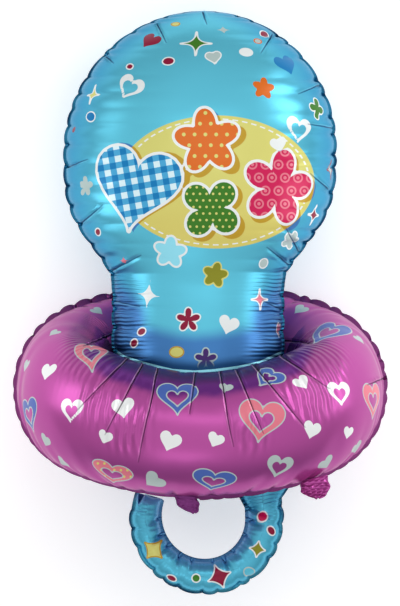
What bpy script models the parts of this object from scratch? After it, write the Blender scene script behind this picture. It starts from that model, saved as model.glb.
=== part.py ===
"""Pacifier foil balloon lying on its back: a teat with its handle, blown from one foil bag, and a shield ring.

Metres, +Z up. The printed front faces up, the crown of the teat points to +Y and the handle to -Y.
X and Y are 0 at the middle of the balloon, and Z is 0 at the floor that it lies on.
"""

import math

import bmesh
import bpy

# Teat: a bulb that narrows to a neck
LENGTH = 0.900  # crown of the teat to the far side of the handle
BULB_WIDTH = 0.423
BULB_DEPTH = 0.272
DOME_HEIGHT = 0.216  # crown to the widest place of the bulb
FLANK_LENGTH = 0.210  # widest place to the start of the neck
FLANK_FULLNESS = 1.7  # over 1 keeps the bulb wide for longer before it narrows
NECK_WIDTH = 0.267
NECK_DEPTH = 0.192
NECK_LENGTH = 0.134
NECK_SHIFT = -0.003  # sideways, as the bag lies a little out of true
CROWN_SHIFT = 0.005

# Stem: the hidden stretch from the neck to the handle, which flattens under the front of the ring
STEM_WIDTH = 0.250
STEM_DEPTH = 0.106
STEM_LEVEL = 0.5  # share of the stem that keeps its width before it runs in to the handle
STEM_ROOT_WIDTH = 0.098  # where it comes out under the ring
STEM_ROOT_DEPTH = 0.066

# Handle: an open loop with one free end
HANDLE_WIDTH = 0.239  # outside
HANDLE_SHIFT = 0.010  # sideways from the middle of the balloon
HANDLE_TUBE_ROOT = 0.061
HANDLE_TUBE_END = 0.050
HANDLE_DEPTH = 0.046
HANDLE_START = math.radians(14.0)
HANDLE_STOP = math.radians(-197.0)
HANDLE_END_LENGTH = 0.022  # over which the free end closes

# Seams: the two sheets of foil are welded along their rim
SEAM_WIDTH = 0.007
SEAM_THICKNESS = 0.0024

# Shield ring round the neck: how far its tube reaches at the sides, in front and behind
RING_HALF_WIDTH = 0.283  # middle of the balloon to the outside of the ring, its seam left out
RING_SIDE_THICKNESS = 0.152
RING_SIDE_HEIGHT = 0.204
RING_FRONT_THICKNESS = 0.160
RING_FRONT_HEIGHT = 0.188
RING_BACK_THICKNESS = 0.064  # flattened between the neck and the floor
RING_BACK_HEIGHT = 0.176
RING_LIFT = 0.014  # clear space between the stem and the front of the ring
RING_DROP = 0.070  # the front of the ring hangs this far below its sides, and its back rides as high
RING_BELOW_NECK = 0.024  # middle of the ring's sides below the end of the neck
SEAM_ROLL = math.radians(84.0)  # the outer seam turns down in front and up behind

# Foil tails, where the ring is filled: angle round the ring, width, length and sideways curl
TAIL_SMALL = (math.radians(98.0), 0.036, 0.026, 0.012)
TAIL_LARGE = (math.radians(40.0), 0.046, 0.042, 0.003)
TAIL_ROOT = 0.016  # how far a tail is rooted in the ring
TAIL_THICKNESS = 0.006

# Fits and the flat spots that it rests on
CLEARANCE = 0.0006  # between the ring and what passes through it
PRESS = 0.0025  # how far the foil is pressed flat against the floor

# Smoothness of the modelled surface
DOME_STEPS = 14
FLANK_STEPS = 12
NECK_STEPS = 5
STEM_STEPS = 9
HANDLE_STEPS = 26
SECTION_STEPS = 10  # on each sheet, from seam to seam; an even number leaves the lowest strip flat
RING_STEPS = 60
RING_SECTION_STEPS = 22
TAIL_STEPS = 5

# Places worked out from the sizes above
CROWN_Y = LENGTH / 2
WIDEST_Y = CROWN_Y - DOME_HEIGHT
NECK_TOP_Y = WIDEST_Y - FLANK_LENGTH
NECK_END_Y = NECK_TOP_Y - NECK_LENGTH
HANDLE_RADIUS = HANDLE_WIDTH / 2
HANDLE_Y = -LENGTH / 2 + HANDLE_RADIUS
RING_Y = NECK_END_Y - RING_BELOW_NECK
BULB_MIDDLE_Z = BULB_DEPTH / 2 - PRESS
NECK_MIDDLE_Z = NECK_DEPTH / 2 + CLEARANCE + RING_BACK_THICKNESS - PRESS
RING_BACK_Y = RING_Y + RING_DROP

TEAT_NAME = "teat_and_handle_balloon"
RING_NAME = "shield_ring_balloon"

TEAT_BLUE = (0.082, 0.442, 0.624, 1.0)
RING_PURPLE = (0.434, 0.070, 0.347, 1.0)
FOIL_ROUGHNESS = 0.24
FOIL_METALLIC = 0.7


def clear_scene():
    for item in list(bpy.data.objects):
        bpy.data.objects.remove(item, do_unlink=True)


def new_collection(name):
    collection = bpy.data.collections.new(name)
    bpy.context.scene.collection.children.link(collection)
    return collection


def foil_material(name, colour):
    material = bpy.data.materials.new(name)
    material.use_nodes = True
    shader = material.node_tree.nodes["Principled BSDF"]
    shader.inputs["Base Color"].default_value = colour
    shader.inputs["Roughness"].default_value = FOIL_ROUGHNESS
    shader.inputs["Metallic"].default_value = FOIL_METALLIC
    return material


def mix(start, end, share):
    return start + (end - start) * share


def ease(share):
    """Goes from 0 to 1 with a level start and finish."""
    return (1 - math.cos(math.pi * share)) / 2


def middle_z(y):
    """Height of the teat's seam, which slopes down from the ring to the bulb resting on the floor."""
    share = (y - WIDEST_Y) / (RING_BACK_Y - WIDEST_Y)
    return mix(BULB_MIDDLE_Z, NECK_MIDDLE_Z, share)


def dome_sections():
    """Crown to the widest place: (left, right, half depth) on an elliptical dome."""
    sections = []
    for step in range(DOME_STEPS):
        angle = math.pi / 2 * (step + 0.35) / DOME_STEPS
        half = BULB_WIDTH / 2 * math.sin(angle)
        y = CROWN_Y - DOME_HEIGHT * (1 - math.cos(angle))
        shift = CROWN_SHIFT * math.cos(angle)
        body = max(0.0, 1 - (1 - math.sin(angle)) * (1 + SEAM_WIDTH / DOME_HEIGHT))
        sections.append(((shift - half, y), (shift + half, y), BULB_DEPTH / 2 * body ** 0.9))
    return sections


def flank_sections():
    """Widest place to the start of the neck, drawn in by an eased curve."""
    sections = []
    for step in range(FLANK_STEPS):
        share = step / FLANK_STEPS
        drawn = ease(share ** FLANK_FULLNESS)
        half = mix(BULB_WIDTH, NECK_WIDTH, drawn) / 2
        depth = mix(BULB_DEPTH, NECK_DEPTH, drawn) / 2
        shift = NECK_SHIFT * ease(share)
        y = mix(WIDEST_Y, NECK_TOP_Y, share)
        sections.append(((shift - half, y), (shift + half, y), depth))
    return sections


def neck_sections():
    sections = []
    for step in range(NECK_STEPS):
        y = mix(NECK_TOP_Y, NECK_END_Y, step / NECK_STEPS)
        sections.append(((NECK_SHIFT - NECK_WIDTH / 2, y), (NECK_SHIFT + NECK_WIDTH / 2, y), NECK_DEPTH / 2))
    return sections


def stem_sections():
    """End of the neck to where the handle comes out under the ring, swinging over to the handle's root."""
    root_x, root_y = loop_point(HANDLE_START, HANDLE_RADIUS - HANDLE_TUBE_ROOT / 2)
    stop_y = root_y + HANDLE_TUBE_ROOT / 2
    sections = []
    for step in range(STEM_STEPS):
        share = step / STEM_STEPS
        narrow = ease(min(1.0, share / STEM_LEVEL))
        onward = ease(max(0.0, share - STEM_LEVEL) / (1 - STEM_LEVEL))
        half = mix(mix(NECK_WIDTH, STEM_WIDTH, narrow), STEM_ROOT_WIDTH, onward) / 2
        depth = mix(mix(NECK_DEPTH, STEM_DEPTH, narrow), STEM_ROOT_DEPTH, onward) / 2
        x = mix(NECK_SHIFT, root_x, onward)
        y = mix(NECK_END_Y, stop_y, share)
        sections.append(((x - half, y), (x + half, y), depth))
    return sections


def loop_point(angle, radius):
    return HANDLE_SHIFT + radius * math.cos(angle), HANDLE_Y + radius * math.sin(angle)


def handle_sections():
    """The open loop from its root on the right, round the far side to the free end on the left."""
    turn = HANDLE_STOP - HANDLE_START
    closing = HANDLE_END_LENGTH / (HANDLE_RADIUS * abs(turn))
    sections = []
    for step in range(HANDLE_STEPS + 1):
        share = step / HANDLE_STEPS
        angle = HANDLE_START + turn * share
        tube = mix(HANDLE_TUBE_ROOT, HANDLE_TUBE_END, share)
        left_over = min(1.0, (1 - share) / closing)
        depth = HANDLE_DEPTH / 2 * math.sqrt(1 - (1 - left_over) ** 2)
        inner = loop_point(angle, HANDLE_RADIUS - tube)
        outer = loop_point(angle, HANDLE_RADIUS)
        sections.append((inner, outer, depth))
    return sections


def pillow_section(left, right, depth, grow):
    """Points round one cross-section: two bulging sheets that meet in a thin welded rim at both sides."""
    middle = ((left[0] + right[0]) / 2, (left[1] + right[1]) / 2)
    across = (right[0] - left[0], right[1] - left[1])
    width = math.hypot(*across)
    half = width / 2 + grow
    body = max(half - SEAM_WIDTH, half * 0.6)
    base = middle_z(middle[1])
    outline = [(-half, 0.0)]
    for side in (1, -1):
        for step in range(SECTION_STEPS):
            angle = math.pi * (step / (SECTION_STEPS - 1) - 0.5) * side
            height = SEAM_THICKNESS / 2 + (depth + grow) * abs(math.cos(angle)) ** 0.9
            outline.append((body * math.sin(angle), side * height))
        outline.append((half * side, 0.0))
    points = []
    for offset, height in outline[:-1]:
        share = offset / width
        x = middle[0] + across[0] * share
        y = middle[1] + across[1] * share
        points.append((x, y, max(0.0, base + height)))
    return points


def loft(name, sections, closed, material, collection):
    """Skins rings of points into one closed mesh object, capped at both ends unless it closes on itself."""
    mesh = bpy.data.meshes.new(name)
    shape = bmesh.new()
    rings = [[shape.verts.new(point) for point in section] for section in sections]
    count = len(rings[0])
    pairs = list(zip(rings, rings[1:] + rings[:1])) if closed else list(zip(rings, rings[1:]))
    for ring, following in pairs:
        for index in range(count):
            after = (index + 1) % count
            shape.faces.new((ring[index], following[index], following[after], ring[after]))
    if not closed:
        shape.faces.new(rings[0])
        shape.faces.new(reversed(rings[-1]))
    bmesh.ops.triangulate(shape, faces=shape.faces[:])
    bmesh.ops.recalc_face_normals(shape, faces=shape.faces[:])
    shape.to_mesh(mesh)
    shape.free()
    mesh.materials.append(material)
    mesh.shade_smooth()
    mesh.set_sharp_from_angle(angle=math.radians(40.0))
    item = bpy.data.objects.new(name, mesh)
    collection.objects.link(item)
    return item


def teat_sections(grow=0.0):
    outlines = dome_sections() + flank_sections() + neck_sections() + stem_sections() + handle_sections()
    return [pillow_section(left, right, depth, grow) for left, right, depth in outlines]


def through_ring_sections(grow):
    """The same bag from the flank to the handle's root, a little larger, to cut the hole of the ring."""
    outlines = flank_sections() + neck_sections() + stem_sections() + handle_sections()[:3]
    return [pillow_section(left, right, depth, grow) for left, right, depth in outlines]


def round_ring(angle, side, front, back):
    """A size that changes round the ring: side at 0 degrees, front at 90 and back at 270."""
    facing = front if math.sin(angle) > 0 else back
    return side * math.cos(angle) ** 2 + facing * math.sin(angle) ** 2


def ring_tube(angle):
    """Middle of the tube's section as (distance from the middle, y), and its half thickness and height."""
    half_thick = round_ring(angle, RING_SIDE_THICKNESS, RING_FRONT_THICKNESS, RING_BACK_THICKNESS) / 2
    half_high = round_ring(angle, RING_SIDE_HEIGHT, RING_FRONT_HEIGHT, RING_BACK_HEIGHT) / 2
    side = RING_HALF_WIDTH - RING_SIDE_THICKNESS / 2
    front = STEM_DEPTH / 2 + RING_LIFT + RING_FRONT_THICKNESS / 2
    back = NECK_DEPTH / 2 + CLEARANCE + RING_BACK_THICKNESS / 2
    reach = round_ring(angle, side, front, back)
    y = RING_Y - RING_DROP * math.sin(angle)
    return reach, y, half_thick, half_high


def ring_point(angle, around, proud=0.0):
    """A point on the ring: angle round the neck, and around its tube from the outside towards the teat."""
    reach, y, half_thick, half_high = ring_tube(angle)
    distance = reach + (half_thick + proud) * math.cos(around)
    x = distance * math.cos(angle)
    z = NECK_MIDDLE_Z + distance * math.sin(angle)
    return x, y + (half_high + proud) * math.sin(around), z


def seam_turn(angle):
    """Where the outer seam lies round the tube."""
    return -SEAM_ROLL * math.sin(angle)


def ring_sections():
    sections = []
    rim = 2 * math.pi / RING_SECTION_STEPS / 4
    for step in range(RING_STEPS):
        angle = 2 * math.pi * step / RING_STEPS
        seam = seam_turn(angle)
        points = [ring_point(angle, seam, SEAM_WIDTH)]
        for index in range(RING_SECTION_STEPS):
            around = rim + (2 * math.pi - 2 * rim) * index / (RING_SECTION_STEPS - 1)
            points.append(ring_point(angle, seam + around))
        sections.append([(x, y, max(0.0, z)) for x, y, z in points])
    return sections


def tail_sections(angle, width, length, curl):
    """A flat strip of foil that leaves the seam of the ring towards the handle, widens and curls to one side."""
    x, y, z = ring_point(angle, seam_turn(angle))
    sections = []
    for step in range(TAIL_STEPS + 1):
        share = step / TAIL_STEPS
        along = y + TAIL_ROOT - (TAIL_ROOT + length) * share
        middle = x + curl * share ** 2
        half = width / 2 * mix(0.8, 1.0, math.sin(math.pi * share)) * math.sqrt(1 - 0.6 * share ** 4)
        thick = TAIL_THICKNESS / 2 * mix(1.0, 0.5, share)
        corners = ((-half, -thick), (half, -thick), (half, thick), (-half, thick))
        sections.append([(middle + across, along, z + up) for across, up in corners])
    return sections


def add_boolean(item, operation, other):
    modifier = item.modifiers.new(operation.title(), "BOOLEAN")
    modifier.operation = operation
    modifier.object = other
    modifier.solver = "EXACT"


def make_guide(item):
    item.hide_render = True
    item.display_type = "WIRE"


def make_teat(collection):
    material = foil_material("blue_foil", TEAT_BLUE)
    return loft(TEAT_NAME, teat_sections(), False, material, collection)


def make_ring(collection, guides):
    material = foil_material("purple_foil", RING_PURPLE)
    ring = loft(RING_NAME, ring_sections(), True, material, collection)
    for name, tail in (("small_tail_guide", TAIL_SMALL), ("large_tail_guide", TAIL_LARGE)):
        strip = loft(name, tail_sections(*tail), False, material, guides)
        make_guide(strip)
        add_boolean(ring, "UNION", strip)
    hole = loft("neck_guide", through_ring_sections(CLEARANCE), False, material, guides)
    make_guide(hole)
    add_boolean(ring, "DIFFERENCE", hole)
    return ring


def main():
    clear_scene()
    parts = new_collection("pacifier_foil_balloon")
    guides = new_collection("cutters")
    make_teat(parts)
    make_ring(parts, guides)


main()
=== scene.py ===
import math

import bpy
import numpy as np
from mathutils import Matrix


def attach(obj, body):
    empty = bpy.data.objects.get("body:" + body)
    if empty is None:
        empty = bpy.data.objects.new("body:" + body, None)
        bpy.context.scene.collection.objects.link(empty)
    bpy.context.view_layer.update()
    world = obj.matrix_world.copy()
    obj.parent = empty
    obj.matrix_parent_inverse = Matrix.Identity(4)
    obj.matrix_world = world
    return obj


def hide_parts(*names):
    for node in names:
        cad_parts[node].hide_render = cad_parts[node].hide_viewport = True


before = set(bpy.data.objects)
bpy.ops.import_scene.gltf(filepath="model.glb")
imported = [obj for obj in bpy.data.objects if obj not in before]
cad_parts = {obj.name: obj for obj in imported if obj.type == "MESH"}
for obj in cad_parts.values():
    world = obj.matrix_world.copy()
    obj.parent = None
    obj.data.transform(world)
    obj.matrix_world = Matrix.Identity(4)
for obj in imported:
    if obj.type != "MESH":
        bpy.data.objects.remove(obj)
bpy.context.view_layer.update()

# Looks of the pacifier foil balloon: two wrinkled, printed foil bags stand for the two plain solids.
# Places read off the photograph are named in its own pixels and turned into metres by these values.
TEAT_NODE = "teat_and_handle_balloon"
RING_NODE = "shield_ring_balloon"
PIXEL = 0.9 / 584
PHOTO_MIDDLE = (200.0, 302.0)

# The sizes of the solids, in metres
LENGTH = 0.9
BULB_WIDTH = 0.423
BULB_DEPTH = 0.272
DOME_HEIGHT = 0.216
FLANK_LENGTH = 0.21
FLANK_FULLNESS = 1.7
NECK_WIDTH = 0.267
NECK_DEPTH = 0.192
NECK_LENGTH = 0.134
NECK_SHIFT = -0.003
CROWN_SHIFT = 0.005
STEM_WIDTH = 0.25
STEM_DEPTH = 0.106
STEM_LEVEL = 0.5
STEM_ROOT_WIDTH = 0.098
STEM_ROOT_DEPTH = 0.066
HANDLE_WIDTH = 0.239
HANDLE_SHIFT = 0.01
HANDLE_TUBE_ROOT = 0.061
HANDLE_TUBE_END = 0.05
HANDLE_DEPTH = 0.046
HANDLE_START = math.radians(14.0)
HANDLE_STOP = math.radians(-197.0)
HANDLE_CLOSING_LENGTH = 0.011
RING_HALF_WIDTH = 0.283
RING_SIDE_THICKNESS = 0.152
RING_SIDE_HEIGHT = 0.204
RING_FRONT_THICKNESS = 0.16
RING_FRONT_HEIGHT = 0.188
RING_BACK_THICKNESS = 0.064
RING_BACK_HEIGHT = 0.176
RING_LIFT = 0.014
RING_DROP = 0.07
RING_BELOW_NECK = 0.024
SEAM_ROLL = math.radians(84.0)
TAIL_ROOT = 0.016
TAIL_THICKNESS = 0.006
CLEARANCE = 0.0006
PRESS = 0.0025

# Each tail's place round the ring, width, length, curl, depth of crumples and amount of painted shade
TAIL_SMALL = (math.radians(98.0), 0.036, 0.026, 0.012, 0.0009, 0.9)
TAIL_LARGE = (math.radians(40.0), 0.046, 0.042, 0.003, 0.0036, 0.0)

CROWN_Y = LENGTH / 2
WIDEST_Y = CROWN_Y - DOME_HEIGHT
NECK_TOP_Y = WIDEST_Y - FLANK_LENGTH
NECK_END_Y = NECK_TOP_Y - NECK_LENGTH
HANDLE_RADIUS = HANDLE_WIDTH / 2
HANDLE_Y = -LENGTH / 2 + HANDLE_RADIUS
RING_Y = NECK_END_Y - RING_BELOW_NECK
BULB_MIDDLE_Z = BULB_DEPTH / 2 - PRESS
NECK_MIDDLE_Z = NECK_DEPTH / 2 + CLEARANCE + RING_BACK_THICKNESS - PRESS
RING_BACK_Y = RING_Y + RING_DROP

# Rows of points along each bag and across each sheet, the first row's distance from the crown in rows, and
# how many rows the stem takes to turn into the handle
DOME_ROWS, FLANK_ROWS, NECK_ROWS, STEM_ROWS, HANDLE_ROWS = 104, 96, 60, 36, 230
FRONT_COLUMNS, BACK_COLUMNS = 150, 34
RING_ROWS, RING_COLUMNS = 620, 156
TAIL_ROWS, TAIL_COLUMNS = 60, 44
FIRST_ROW = 0.35
BLEND_ROWS = 24

# Welded rims, the free end of the handle and the puffed sheets
TEAT_RIM = 0.0045
RING_RIM = 0.01
SCALLOP_DEPTH = 0.0034
RING_SCALLOP_DEPTH = 0.005
SCALLOP_PITCH = 0.03
CREASE_LINE = 0.0009
INNER_PITCH = 0.021
EDGE_SHADE_WIDTH = 0.04
END_LOBE = 0.008
END_REACH = 0.026
END_LIGHT_LENGTH = 0.008
FILM = 0.0006
PUFF_POWER = 0.9
BODY_SHARE = 0.6
FLAP_HEIGHT = 0.0012
FLAP_FADE = 0.006

# Length and width of the puckers from the outer rims, from the handle's inner edge and from the ring's inside
PINCH_LENGTH = 0.045
TEAT_PINCH_WIDTH = 0.0028
RING_PINCH_WIDTH = 0.0035
HANDLE_PINCH = (0.026, 0.0013)
HUG_PINCH = (0.075, 0.0026)

# How deep the film dents at the puckers, long creases, welds and elsewhere, and how wide the creases are
TEAT_PINCH_DEPTH = 0.0027
TEAT_CREASE_DEPTH = 0.004
TEAT_CREASE_WIDTH = 0.0021
TEAT_UNEVENNESS = 0.0006
RING_PINCH_DEPTH = 0.0042
RING_HUG_DEPTH = 0.0034
RING_WELD_DEPTH = 0.0016
RING_INNER_SWELL = 0.003
RING_CREASE_DEPTH = 0.0044
RING_CREASE_WIDTH = 0.0017
RING_UNEVENNESS = 0.001

BLUE = (0.115, 0.545, 0.71)
BLUE_DEEP = (0.055, 0.195, 0.48)
SHADE_NAVY = (0.006, 0.045, 0.15)
PURPLE = (0.46, 0.078, 0.33)
SHADE_PURPLE = (0.04, 0.004, 0.085)
YELLOW = (0.68, 0.64, 0.17)
OCHRE = (0.52, 0.31, 0.015)
WHITE = (0.82, 0.85, 0.84)
SILVER = (0.45, 0.55, 0.53)
CRIMSON = (0.27, 0.0, 0.028)
ORANGE = (0.7, 0.14, 0.002)
GREEN = (0.05, 0.19, 0.006)
OLIVE = (0.26, 0.25, 0.006)
ROYAL = (0.008, 0.19, 0.47)
HEART_BLUE = (0.06, 0.13, 0.44)
HEART_PINK = (0.74, 0.19, 0.25)
ROSE = (0.6, 0.006, 0.08)
PLUM = (0.06, 0.008, 0.13)
CREASE_SHADE_BLACK = (0.012, 0.002, 0.022)
CREASE_HIGHLIGHT_PINK = (0.85, 0.52, 0.76)
NECK_REFLECTION_VIOLET = (0.15, 0.025, 0.23)
GINGHAM_MIDDLE = (0.07, 0.38, 0.66)
GINGHAM_LIGHT = (0.7, 0.88, 0.93)
EDGE_SHADE_BLUE = (0.022, 0.235, 0.45)
INNER_SHADE_BLUE = (0.12, 0.36, 0.65)
PALE_BLUE = (0.3, 0.75, 0.88)
END_LIGHT_BLUE = (0.19, 0.48, 0.78)
BLUE_GLANCE = (0.3, 0.72, 0.9)
PURPLE_GLANCE = (0.9, 0.7, 0.8)

NO_PATTERN, GINGHAM, DOTS, CIRCLES, SMALL_DOTS = 0.0, 1.0, 2.0, 3.0, 4.0

# The print inside the big motifs, in metres: pitch and radius of the dots, and the circles round some of them
LARGE_DOTS = (0.0165, 0.0029)
FINE_DOTS = (0.01, 0.0019)
RINGED_DOTS = (0.02, 0.0026)
CIRCLE_RADIUS = 0.0064
CIRCLE_EDGES = (0.0016, 0.001)
EDGE_SOFTNESS = 0.0003
INK_SOFTNESS = 0.0002

# The yellow oval, in the photograph's pixels
OVAL_MIDDLE = (216, 183)
OVAL_HALF_WIDTH, OVAL_HALF_HEIGHT = 98, 66
OVAL_LOWER_YELLOW = (0.7, 0.6, 0.14)

# Foil: its share of metal where bare and where inked, range of roughness, and pitch of the fine wrinkles
TEAT_METALLIC = (0.55, 0.12)
RING_METALLIC = (0.62, 0.2)
ROUGHNESS = (0.28, 0.35)
WRINKLE_PITCH = 0.0062

# The curved line on which the ring hugs the neck, in the photograph's pixels
HUG_LINE = (
    (111, 322), (112, 342), (113, 348), (125, 356), (141, 361), (155.5, 365), (173, 369), (195, 370.5),
    (215, 369), (238, 366), (259, 361.5), (273.4, 355), (282, 351), (285.5, 343), (287, 322),
)

# The hug leaves no shade on the teat below this row, and none this many pixels away from the line
LOWEST_HUG = 395
FAR_FROM_HUG = 99

# Where the painted shade, reflection and highlight and the duller foil beside the hug start and where they
# are full, in pixels from the line
DEEP_BLUE_REACH = (44.0, 26.0)
NAVY_REACH = (13.0, 2.0)
LIP_OUTSIDE = (0.8, 0.3)
LIP_INSIDE = (-2.2, -1.7)
VIOLET_REACH = (36.0, 26.0)
DARK_PURPLE_REACH = (17.0, 5.0)
DULL_REACH = (16.0, 4.0)

rng = np.random.default_rng(7)


def to_metres(px, py):
    return (px - PHOTO_MIDDLE[0]) * PIXEL, (PHOTO_MIDDLE[1] - py) * PIXEL


def mix(start, end, share):
    return start + (end - start) * share


def ease(share):
    return (1 - np.cos(np.pi * share)) / 2


def middle_z(y):
    share = (y - WIDEST_Y) / (RING_BACK_Y - WIDEST_Y)
    return mix(BULB_MIDDLE_Z, NECK_MIDDLE_Z, share)


def bell(value, middle, spread):
    """1 at the middle, fading evenly to both sides."""
    return np.exp(-((value - middle) / spread) ** 2)


def full_turn(count):
    return np.linspace(0, 2 * np.pi, count, endpoint=False)


def loop_points(angle, radius):
    return np.stack([HANDLE_SHIFT + radius * np.cos(angle), HANDLE_Y + radius * np.sin(angle)], 1)


def level_rows(y, half, depth, shift):
    left = np.stack([shift - half, y], 1)
    right = np.stack([shift + half, y], 1)
    return left, right, depth


def dome_rows():
    angle = np.pi / 2 * (np.arange(DOME_ROWS) + FIRST_ROW) / DOME_ROWS
    body = np.clip(1 - (1 - np.sin(angle)) * (1 + TEAT_RIM / DOME_HEIGHT), 0, None)
    y = CROWN_Y - DOME_HEIGHT * (1 - np.cos(angle))
    half = BULB_WIDTH / 2 * np.sin(angle)
    return level_rows(y, half, BULB_DEPTH / 2 * body ** PUFF_POWER, CROWN_SHIFT * np.cos(angle))


def flank_rows():
    share = np.arange(FLANK_ROWS) / FLANK_ROWS
    drawn = ease(share ** FLANK_FULLNESS)
    y = mix(WIDEST_Y, NECK_TOP_Y, share)
    half = mix(BULB_WIDTH, NECK_WIDTH, drawn) / 2
    return level_rows(y, half, mix(BULB_DEPTH, NECK_DEPTH, drawn) / 2, NECK_SHIFT * ease(share))


def neck_rows():
    y = mix(NECK_TOP_Y, NECK_END_Y, np.arange(NECK_ROWS) / NECK_ROWS)
    same = np.ones(NECK_ROWS)
    return level_rows(y, same * NECK_WIDTH / 2, same * NECK_DEPTH / 2, same * NECK_SHIFT)


def stem_rows():
    root_x, root_y = loop_points(np.array([HANDLE_START]), HANDLE_RADIUS - HANDLE_TUBE_ROOT / 2)[0]
    share = np.arange(STEM_ROWS) / STEM_ROWS
    narrow = ease(np.clip(share / STEM_LEVEL, 0, 1))
    onward = ease(np.clip(share - STEM_LEVEL, 0, 1) / (1 - STEM_LEVEL))
    half = mix(mix(NECK_WIDTH, STEM_WIDTH, narrow), STEM_ROOT_WIDTH, onward) / 2
    depth = mix(mix(NECK_DEPTH, STEM_DEPTH, narrow), STEM_ROOT_DEPTH, onward) / 2
    y = mix(NECK_END_Y, root_y + HANDLE_TUBE_ROOT / 2, share)
    return level_rows(y, half, depth, mix(NECK_SHIFT, root_x, onward))


def handle_rows():
    turn = HANDLE_STOP - HANDLE_START
    closing = HANDLE_CLOSING_LENGTH / (HANDLE_RADIUS * abs(turn))
    share = np.arange(HANDLE_ROWS + 1) / HANDLE_ROWS
    angle = HANDLE_START + turn * share
    tube = mix(HANDLE_TUBE_ROOT, HANDLE_TUBE_END, share)
    left_over = np.clip((1 - share) / closing, 0, 1)
    depth = HANDLE_DEPTH / 2 * np.sqrt(1 - (1 - left_over) ** 2)
    return loop_points(angle, HANDLE_RADIUS - tube), loop_points(angle, HANDLE_RADIUS), depth


def rail_length(points):
    steps = np.linalg.norm(np.diff(points, axis=0), axis=1)
    return np.concatenate([[0], np.cumsum(steps)])


def notch_places(length, pitch):
    """Uneven places along a rim, about a pitch apart, where the foil is pinched."""
    count = max(3, int(length / pitch))
    uneven = rng.uniform(-0.28, 0.28, count)
    places = (np.arange(count) + uneven) * length / count
    return np.sort(places)


def scallop(along, notches):
    """0 at each notch and 1 between, with round bumps."""
    at = np.interp(along, notches, np.arange(len(notches)), left=0, right=len(notches) - 1)
    return np.abs(np.sin(np.pi * at)) ** 0.6


def pinches(along, inward, notches, reach, width):
    """Depth of the grooves that run in from a rim: narrow at the rim and wider and fainter inside."""
    strength = rng.uniform(0.25, 1.0, len(notches))
    reaches = rng.uniform(0.5, 1.6, len(notches))
    lean = rng.uniform(-0.25, 0.25, len(notches))
    widening, fading = 0.16, 1.3
    total = np.zeros(np.broadcast(along, inward).shape)
    for place, amount, far, slant in zip(notches, strength, reaches, lean):
        groove = bell(along - place, slant * inward, width + widening * inward)
        total += amount * groove * np.exp(-(inward / (reach * far)) ** fading)
    return total


def seam_rise(inward, width):
    """Keeps the first stretch inside a rim flat, then lets it rise."""
    return np.clip(inward / width, 0, 1)


def grid_normals(points, closed_rows):
    """Normals that point out of the bag, and whether the grid's own turn already does."""
    ahead = np.roll(points, -1, 0) - np.roll(points, 1, 0)
    if not closed_rows:
        ahead[0] = points[1] - points[0]
        ahead[-1] = points[-1] - points[-2]
    across = np.roll(points, -1, 1) - np.roll(points, 1, 1)
    normal = np.cross(across, ahead)
    outward = np.sign(np.sum(normal * (points - points.mean(1, keepdims=True))))
    size = np.linalg.norm(normal, axis=2, keepdims=True)
    return outward * normal / np.maximum(size, 1e-12), outward > 0


def beside_line(points, start, end):
    """How far along a line between two places of the photograph each point lies, and how far to its side."""
    a, b = np.array(to_metres(*start)), np.array(to_metres(*end))
    length = np.linalg.norm(b - a)
    run = (b - a) / length
    dx, dy = points[..., 0] - a[0], points[..., 1] - a[1]
    return (dx * run[0] + dy * run[1]) / length, run[0] * dy - run[1] * dx


def crease_fade(share, end, power, steepness):
    """Strength along a crease: a quick rise where it starts and a slow fade to its end."""
    rise = 1 + share * steepness
    return np.clip(end - share, 0, 1) ** power * np.clip(rise, 0, 1) * (rise > 0.04)


def segment_groove(points, start, end, width):
    """How deep each point lies in a crease, with a slight swelling along both its sides."""
    share, side = beside_line(points, start, end)
    off = np.abs(side)
    spread = width * (0.6 + 0.5 * np.clip(share, 0, 1))
    swelling = 0.35 * bell(off, 2.4 * spread, spread)
    return crease_fade(share, 1.0, 0.6, 8) * (bell(off, 0, spread) - swelling)


def crease_fields(points, creases, allowed):
    """How far each point lies to the side of the nearest crease, and how strong that crease is there."""
    widest = 0.007
    off = np.full(points.shape[:2], 1.0)
    strength = np.zeros(points.shape[:2])
    for start, end in creases:
        share, side = beside_line(points, start, end)
        fade = crease_fade(share, 1.05, 0.5, 12)
        chosen = (fade > 0) & (np.abs(side) < widest) & (np.abs(side) < np.abs(off)) & allowed
        off[chosen] = side[chosen]
        strength[chosen] = fade[chosen]
    return off, strength


def line_gap(points, line):
    """Distance from each point to a line of places, in the photograph's pixels, and which are below it."""
    places = np.array([to_metres(*place) for place in line])
    x, y = points[..., 0], points[..., 1]
    best = np.full(x.shape, np.inf)
    for a, b in zip(places[:-1], places[1:]):
        run = b - a
        share = np.clip(((x - a[0]) * run[0] + (y - a[1]) * run[1]) / (run @ run), 0, 1)
        best = np.minimum(best, np.hypot(x - a[0] - share * run[0], y - a[1] - share * run[1]))
    line_y = np.interp(x, places[:, 0], places[:, 1])
    below = (x > places[0, 0]) & (x < places[-1, 0]) & (y < line_y)
    return best / PIXEL, below


def smooth_noise(points, scale, seed):
    """A sum of a few slanted waves, even over the whole bag."""
    waves, finest, coarsest, longest_phase = 6, 1.5, 0.6, 6.28
    local = np.random.default_rng(seed)
    total = np.zeros(points.shape[:-1])
    for _ in range(waves):
        direction = local.normal(size=3)
        direction *= local.uniform(coarsest, finest) / np.linalg.norm(direction)
        total += np.sin(points @ direction * 2 * np.pi / scale + local.uniform(0, longest_phase))
    return total / waves


# Shapes of the print, each a closed outline about one unit high


def heart_shape(stretch=1.0):
    """The common heart curve, lifted to its middle and brought to unit size."""
    turn = full_turn(44)
    x = 16 * np.sin(turn) ** 3
    y = 13 * np.cos(turn) - 5 * np.cos(2 * turn) - 2 * np.cos(3 * turn) - np.cos(4 * turn)
    return np.stack([x, (y + 2.5) * stretch], 1) / 30


def oval_shape(squash=1.0):
    turn = full_turn(24)
    return np.stack([np.cos(turn) / 2, np.sin(turn) / 2 * squash], 1)


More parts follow.
